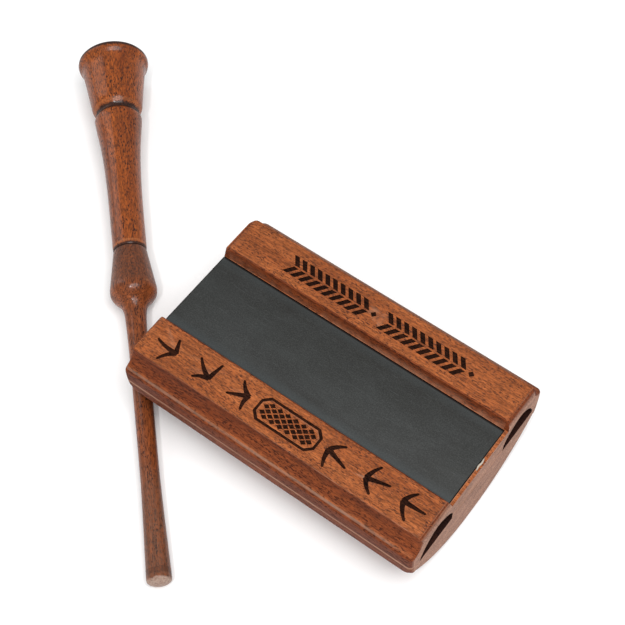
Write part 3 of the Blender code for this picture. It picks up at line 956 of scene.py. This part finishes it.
slate_stone, slate_tree, slate_shader = start_material("grey_green_slate")
slate_vector = object_coordinates(slate_tree)
slate_wear = place_group(slate_tree, wear_group, slate_vector, Low=0.52, High=0.60)
clouds = noise(slate_tree, slate_vector, (50, 75, 75), 4, 0.6, 0.7)
clouds = ramp(slate_tree, clouds, [(0.36, 0.0), (0.66, 1.0)])
speckle = noise(slate_tree, slate_vector, (2600, 2600, 2600), 2, 0.6)
speckle = ramp(slate_tree, speckle, [(0.36, 0.62), (0.52, 1.0), (0.68, 1.55)])
scratches = noise(slate_tree, slate_vector, (160, 3600, 200), 2, 0.6)
scratches = ramp(slate_tree, scratches, [(0.62, 0.0), (0.74, 1.0)])
smudge = noise(slate_tree, slate_vector, (24, 90, 60), 3, 0.6, 1.2)
smudge = ramp(slate_tree, smudge, [(0.50, 0.0), (0.66, 1.0)])
dark_slate, light_slate = (0.0235, 0.0245, 0.0230), (0.0300, 0.0318, 0.0306)
slate_colour = mix_colour(slate_tree, "MIX", clouds, dark_slate, light_slate)
slate_colour = mix_colour(slate_tree, "MULTIPLY", 0.8, slate_colour, speckle)
scratch_amount = times(slate_tree, scratches, 0.30)
slate_colour = mix_colour(slate_tree, "MIX", scratch_amount, slate_colour, (0.085, 0.094, 0.094))
smudge_amount = times(slate_tree, smudge, 0.22)
slate_colour = mix_colour(slate_tree, "MIX", smudge_amount, slate_colour, (0.040, 0.044, 0.043))
slate_place = split_xyz(slate_tree, slate_vector)
across_slate = math_node(slate_tree, "ABSOLUTE", slate_place["Y"])
bloom = step_up(slate_tree, across_slate, RIM_BLOOM_FROM, slate_high.y, "LINEAR")
rim_amount = times(slate_tree, bloom, 0.55)
slate_colour = mix_colour(slate_tree, "MIX", rim_amount, slate_colour, (0.046, 0.056, 0.058))
# painted shadow: a dark line beside the far wall and along the open left end stands for the shade in
# the gap and on the chamfer there
shadow_gap_start = slate_high.y - SHADOW_GAP_WIDTH
painted_far_gap_shadow = band_mask(slate_tree, slate_place["Y"], shadow_gap_start, 0.02, 0.0002)
painted_left_end_shadow = band_mask(slate_tree, slate_place["X"], -0.06, slate_low.x + 0.0003, 0.0002)
painted_gap_shadow = math_node(slate_tree, "MAXIMUM", painted_far_gap_shadow, painted_left_end_shadow)
painted_gap_shadow = times(slate_tree, painted_gap_shadow, 0.9)
slate_colour = mix_colour(slate_tree, "MIX", painted_gap_shadow, slate_colour, (0.006, 0.004, 0.004))
slate_rough = times(slate_tree, slate_wear.outputs["Handling"], 0.25)
slate_rough = plus(slate_tree, slate_rough, 0.50)
smudge_gloss = times(slate_tree, smudge, 0.08)
slate_rough = minus(slate_tree, slate_rough, smudge_gloss)
paint(slate_tree, slate_shader, slate_colour, slate_rough)
slate_height = minus(slate_tree, speckle, scratch_amount)
slate_shader.inputs["Specular IOR Level"].default_value = 0.28
bump(slate_tree, slate_shader, slate_height, 0.00004, 0.45)
slate.data.materials.append(slate_stone)
shade_smooth(slate, 50)
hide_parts("slate")
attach(slate, "call")


# ---- slate bedding, sound board and pedestals --------------------------------------------------
# Inside the box: a ring of dark flexible adhesive under the slate's rim, a thin board of pale wood
# that answers the slate, and two small turned posts that carry the board off the hollow's floor.
glue, glue_tree, glue_shader = start_material("dark_bedding_adhesive")
glue_vector = object_coordinates(glue_tree)
glue_noise = noise(glue_tree, glue_vector, (700, 700, 700), 3, 0.6)
dark_glue, light_glue = (0.008, 0.007, 0.006), (0.022, 0.018, 0.015)
glue_colour = mix_colour(glue_tree, "MIX", glue_noise, dark_glue, light_glue)
glue_rough = times(glue_tree, glue_noise, 0.3)
glue_rough = plus(glue_tree, glue_rough, 0.30)
paint(glue_tree, glue_shader, glue_colour, glue_rough)
bump(glue_tree, glue_shader, glue_noise, 0.0002, 0.5)


def pale_wood(name, light, dark, turn):
    """Unfinished pale wood with soft fibres, its grain along X or turned to Z."""
    material, tree, shader = start_material(name)
    vector = object_coordinates(tree, rotation=turn)
    grain = place_group(
        tree, wood_group, vector, Light_wood=(*light, 1), Dark_wood=(*dark, 1),
        Pore_colour=(0.20, 0.12, 0.06, 1), Pore_amount=0.35, Fibre_contrast=0.45, Smoke=0.10,
    )
    wear = place_group(tree, wear_group, vector, Low=0.52, High=0.64)
    edge = times(tree, wear.outputs["Edge"], 0.4)
    colour = mix_colour(tree, "MIX", edge, grain.outputs["Colour"], (0.80, 0.66, 0.48))
    rough = plus(tree, grain.outputs["Roughness shift"], 0.58)
    paint(tree, shader, colour, rough)
    bump(tree, shader, grain.outputs["Height"], 0.0001, 0.5)
    return material


board_wood = pale_wood(
    "pale_sound_board_wood", (0.66, 0.47, 0.28), (0.50, 0.32, 0.17), (0, 0, 0),
)
post_wood = pale_wood(
    "maple_post_wood", (0.70, 0.54, 0.36), (0.56, 0.40, 0.24), (0, math.pi / 2, 0),
)
for node_name, finish in (
    ("slate_bedding", glue),
    ("sound_board", board_wood),
    ("pedestal_left", post_wood),
    ("pedestal_right", post_wood),
):
    node_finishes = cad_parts[node_name].data.materials
    node_finishes.clear()
    node_finishes.append(finish)

# a small sliver of squeezed-out glue, dried on the lip beyond the slate's right edge
SLIVER_HALF_SIZE = (0.00032, 0.0026, 0.00016)
SLIVER_PLACE = (RIGHT_END - SLATE_LIP + 0.00025, 0.0012, SLATE_TOP + 0.00003)
sliver_solid = bmesh.new()
bmesh.ops.create_uvsphere(sliver_solid, u_segments=24, v_segments=12, radius=1)
bmesh.ops.scale(sliver_solid, vec=SLIVER_HALF_SIZE, verts=sliver_solid.verts)
for vert in sliver_solid.verts:
    vert.co.x += 0.00012 * math.sin(vert.co.y * 1900)
    vert.co.z *= 1 + 0.4 * math.sin(vert.co.y * 1300)
bmesh.ops.translate(sliver_solid, vec=SLIVER_PLACE, verts=sliver_solid.verts)
sliver = new_piece("dried_glue_sliver", sliver_solid)
pale_glue, pale_tree, pale_shader = start_material("dried_pale_glue")
pale_vector = object_coordinates(pale_tree)
pale_noise = noise(pale_tree, pale_vector, (2200, 2200, 2200), 2, 0.6)
pale_colour = mix_colour(pale_tree, "MIX", pale_noise, (0.30, 0.25, 0.19), (0.52, 0.47, 0.40))
pale_rough = times(pale_tree, pale_noise, 0.3)
pale_rough = plus(pale_tree, pale_rough, 0.25)
paint(pale_tree, pale_shader, pale_colour, pale_rough)
sliver.data.materials.append(pale_glue)
for face in sliver.data.polygons:
    face.use_smooth = True
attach(sliver, "call")


# ---- striker -----------------------------------------------------------------------------------
# A turned peg of the same oiled wood in two pieces: the handle, with a flared head and a groove
# burnt in with a wire, and the shaft with its bulb, glued into the handle on a round tenon.
STRIKER_AZIMUTH = math.radians(134.25)
STRIKER_TIP = (-0.0099, -0.0797)
STRIKER_LENGTH = 0.2157
RIM_AT = 0.0030
RIM_RADIUS = 0.01345
TIP_AT = 0.2132
TIP_RADIUS = 0.00415
JOIN_AT = 0.0893
JOIN_RADIUS = 0.0058
TENON_RADIUS = 0.0030
TENON_LENGTH = 0.016
GROOVE_RADIUS = 0.0078
BULB_RADIUS = 0.00835
SHAFT_RADIUS = 0.0033
TURN_STEPS = 96

pitch = math.asin((RIM_RADIUS - TIP_RADIUS) / (TIP_AT - RIM_AT))
towards_head = Vector((
    math.cos(STRIKER_AZIMUTH) * math.cos(pitch),
    math.sin(STRIKER_AZIMUTH) * math.cos(pitch),
    math.sin(pitch),
))
head_top = Vector((*STRIKER_TIP, TIP_RADIUS * math.cos(pitch))) + towards_head * TIP_AT
striker_turn = towards_head.to_track_quat("Z", "Y")
striker_place = Matrix.Translation(head_top) @ striker_turn.to_matrix().to_4x4()


def smoothed(profile, steps):
    """A finer line through radius and distance pairs, easy in its bends and never overshooting."""
    line = [Vector(point) for point in profile]
    slopes = [line[1] - line[0]]
    for before, here, after in zip(line, line[1:], line[2:]):
        lengths = ((here - before).length, (after - here).length)
        slopes.append((after - before) * min(lengths) / max(sum(lengths), 1e-9))
    slopes.append(line[-1] - line[-2])
    finer = []
    for place in range(len(line) - 1):
        reach = (line[place + 1] - line[place]).length
        first = slopes[place].normalized() * reach
        last = slopes[place + 1].normalized() * reach
        for step in range(steps):
            t = step / steps
            blend = 3 * t**2 - 2 * t**3
            point = line[place] * (1 - blend) + line[place + 1] * blend
            point += first * (t**3 - 2 * t**2 + t) * 0.8 + last * (t**3 - t**2) * 0.8
            finer.append((max(point.x, 0.0), point.y))
    finer.append(tuple(line[-1]))
    return finer


def turned(name, profile):
    """A lathe-turned piece on the striker's own axis."""
    solid = bmesh.new()
    line = [solid.verts.new((radius, 0, -distance)) for radius, distance in profile]
    edges = [solid.edges.new(pair) for pair in zip(line, line[1:])]
    bmesh.ops.spin(
        solid, geom=line + edges, cent=(0, 0, 0), axis=(0, 0, 1), dvec=(0, 0, 0),
        angle=math.tau, steps=TURN_STEPS, use_merge=True, use_duplicate=False,
    )
    bmesh.ops.remove_doubles(solid, verts=solid.verts, dist=TOUCHING)
    bmesh.ops.recalc_face_normals(solid, faces=solid.faces)
    bmesh.ops.transform(solid, matrix=striker_place, verts=solid.verts)
    return new_piece(name, solid)


handle_line = smoothed([
    (0.0094, 0.00012),
    (0.0121, 0.0009),
    (0.0132, 0.0020),
    (RIM_RADIUS - 0.00003, RIM_AT),
    (0.0131, 0.0043),
    (0.0123, 0.0056),
    (0.0118, 0.0076),
    (0.0106, 0.0160),
    (0.0096, 0.0238),
    (0.0092, 0.0252),
    (0.0083, 0.0266),
    (GROOVE_RADIUS, 0.0274),
    (GROOVE_RADIUS, 0.0284),
    (0.0083, 0.0293),
    (0.0089, 0.0303),
    (0.0074, 0.0430),
    (0.0066, 0.0550),
    (0.00625, 0.0680),
    (0.00610, 0.0878),
    (0.00598, 0.0887),
    (JOIN_RADIUS, JOIN_AT - GLUE_GAP / 2),
], 5)
handle_line = [(0, 0), (0.003, 0.00002), (0.0065, 0.00005)] + handle_line
handle_line += [
    (TENON_RADIUS + GLUE_GAP, JOIN_AT - GLUE_GAP / 2),
    (TENON_RADIUS + GLUE_GAP, JOIN_AT - TENON_LENGTH - GLUE_GAP),
    (0, JOIN_AT - TENON_LENGTH - GLUE_GAP),
]
shaft_line = smoothed([
    (JOIN_RADIUS, JOIN_AT + GLUE_GAP / 2),
    (0.00598, 0.0897),
    (0.00615, 0.0905),
    (0.00725, 0.0980),
    (0.0083, 0.1050),
    (BULB_RADIUS, 0.1064),
    (0.0081, 0.1078),
    (0.0071, 0.1094),
    (0.0056, 0.1110),
    (0.0046, 0.1126),
    (0.0040, 0.1146),
    (0.00365, 0.1195),
    (0.0034, 0.1300),
    (SHAFT_RADIUS, 0.1540),
    (SHAFT_RADIUS, 0.1800),
    (0.0037, 0.1970),
    (TIP_RADIUS, TIP_AT),
    (0.0040, 0.2142),
    (0.0030, 0.2150),
    (0.0016, 0.2155),
    (0, STRIKER_LENGTH),
], 5)
shaft_line = [
    (0, JOIN_AT - TENON_LENGTH),
    (TENON_RADIUS, JOIN_AT - TENON_LENGTH),
    (TENON_RADIUS, JOIN_AT + GLUE_GAP / 2),
] + shaft_line


def turned_wood(name, light, dark, roughness, marks):
    """Striker wood, its grain along the striker's axis.

    marks are bands round it: start, end, softness, colour, amount and how broken up they are. A
    mark that starts before zero is kept to the rim of the head.
    """
    material, tree, shader = start_material(name)
    turn = striker_turn.to_euler()
    vector = object_coordinates(tree, location=head_top, rotation=turn)
    swap = add_node(tree, "ShaderNodeMapping", vector_type="TEXTURE")
    swap.inputs["Rotation"].default_value = (0, math.pi / 2, 0)
    tree.links.new(vector, swap.inputs["Vector"])
    grain = place_group(
        tree, wood_group, swap.outputs["Vector"], Light_wood=(*light, 1), Dark_wood=(*dark, 1),
        Pore_colour=(0.026, 0.008, 0.005, 1), Pore_amount=1.0, Fibre_contrast=0.90, Smoke=0.24,
    )
    wear = place_group(tree, wear_group, vector, Low=0.53, High=0.66)
    edge = times(tree, wear.outputs["Edge"], 0.35)
    colour = mix_colour(tree, "MIX", edge, grain.outputs["Colour"], (0.42, 0.17, 0.07))
    place = split_xyz(tree, vector)
    distance = times(tree, place["Z"], -1.0)
    wobble = noise(tree, vector, (420, 420, 420), 3, 0.6)
    grit = noise(tree, vector, (1500, 1500, 1500), 2, 0.6)
    wobble = times(tree, minus(tree, wobble, 0.5), 0.0012)
    shaky = plus(tree, distance, wobble)
    rough = plus(tree, grain.outputs["Roughness shift"], roughness)
    x_squared = times(tree, place["X"], place["X"])
    y_squared = times(tree, place["Y"], place["Y"])
    from_axis = math_node(tree, "SQRT", plus(tree, x_squared, y_squared))
    rim_only = band_mask(tree, from_axis, 0.0122, 0.05, 0.0012)
    for start, end, softness, tint, amount, breakup in marks:
        mask = band_mask(tree, shaky, start, end, softness)
        if start < 0:
            mask = times(tree, mask, rim_only)
        broken = ramp(tree, grit, [(0.5 - 0.25 * breakup, 1.0 - breakup), (0.62, 1.0)])
        mask = times(tree, mask, broken)
        mask = times(tree, mask, amount, clamp=True)
        colour = mix_colour(tree, "MIX", mask, colour, tint)
        rough = plus(tree, rough, times(tree, mask, 0.25))
    paint(tree, shader, colour, rough)
    shader.inputs["Specular IOR Level"].default_value = 0.12
    shader.inputs["Coat Weight"].default_value = 0.32
    shader.inputs["Coat Roughness"].default_value = 0.16
    bump(tree, shader, grain.outputs["Height"], 0.0001, 0.5)
    return material


handle_wood = turned_wood(
    "satin_handle_wood", (0.320, 0.078, 0.013), (0.165, 0.035, 0.007), 0.32,
    (
        (-0.001, 0.0028, 0.0008, (0.014, 0.007, 0.006), 0.96, 0.1),
        (0.0271, 0.0287, 0.0006, (0.012, 0.006, 0.005), 0.96, 0.1),
        # painted highlight: a pale ring on the lip above the groove
        (0.0255, 0.0261, 0.0005, (0.400, 0.135, 0.045), 0.35, 0.5),
        # painted highlight: a pale ring on the lip above the join
        (0.0873, 0.0880, 0.0003, (0.400, 0.135, 0.045), 0.50, 0.5),
        (0.0886, 0.0900, 0.0005, (0.020, 0.010, 0.008), 0.90, 0.1),
    ),
)
shaft_wood = turned_wood(
    "satin_shaft_wood", (0.265, 0.069, 0.018), (0.130, 0.033, 0.010), 0.36,
    (
        (0.0880, 0.0896, 0.0004, (0.020, 0.010, 0.008), 0.90, 0.1),
        (0.0905, 0.1035, 0.0040, (0.075, 0.033, 0.021), 0.70, 0.95),
        (0.1870, 0.2200, 0.0180, (0.130, 0.080, 0.056), 0.45, 0.7),
        (0.2108, 0.2122, 0.0006, (0.040, 0.017, 0.011), 0.55, 0.5),
        (0.2143, 0.2200, 0.0008, (0.400, 0.290, 0.230), 0.80, 0.5),
    ),
)

for piece_name, line, finish, node_name, slot_name in (
    ("handle_turned", handle_line, handle_wood, "striker_handle", "striker_wood"),
    ("shaft_turned", shaft_line, shaft_wood, "striker_shaft", "shaft_wood"),
):
    striker_piece = turned(piece_name, line)
    striker_piece.data.materials.append(finish)
    shade_smooth(striker_piece, 40)
    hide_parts(node_name)
    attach(striker_piece, "striker")
